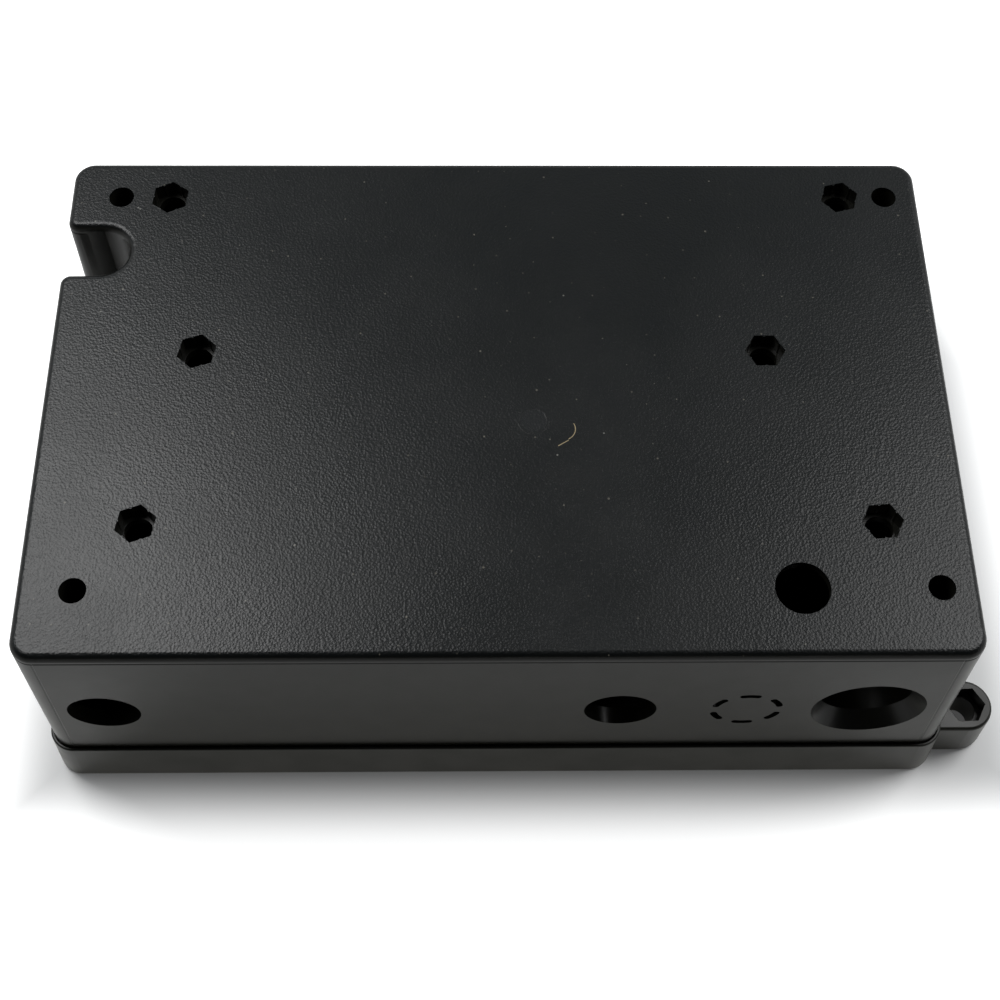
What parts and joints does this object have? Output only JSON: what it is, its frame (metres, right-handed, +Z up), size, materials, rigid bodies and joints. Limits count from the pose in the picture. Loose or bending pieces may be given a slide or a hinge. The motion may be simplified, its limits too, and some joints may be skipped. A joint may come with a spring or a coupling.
{
  "type": "inverter housing",
  "caption": "Deep rectangular moulded plastic housing on a shallow base cover, with round cable entries, a knockout, nut pockets, an edge notch and a fixing ear.",
  "frame": {"origin": "middle of the flat underside of the housing body, the fixing ear left out", "axes": "+X along the length towards the fixing ear, +Y from the wall with the cable entries to the back, +Z up through the closed face"},
  "size_m": [0.2839, 0.173, 0.082],
  "materials": {
    "housing": "fine spark-eroded grain on the closed face, smooth sides",
    "screws": "zinc plated",
    "seal": "matt"
  },
  "bodies": {
    "root": {"body_shell": "housing", "base_cover": "housing", "closing_screws": "screws", "seal_cord": "seal"}
  },
  "joints": []
}
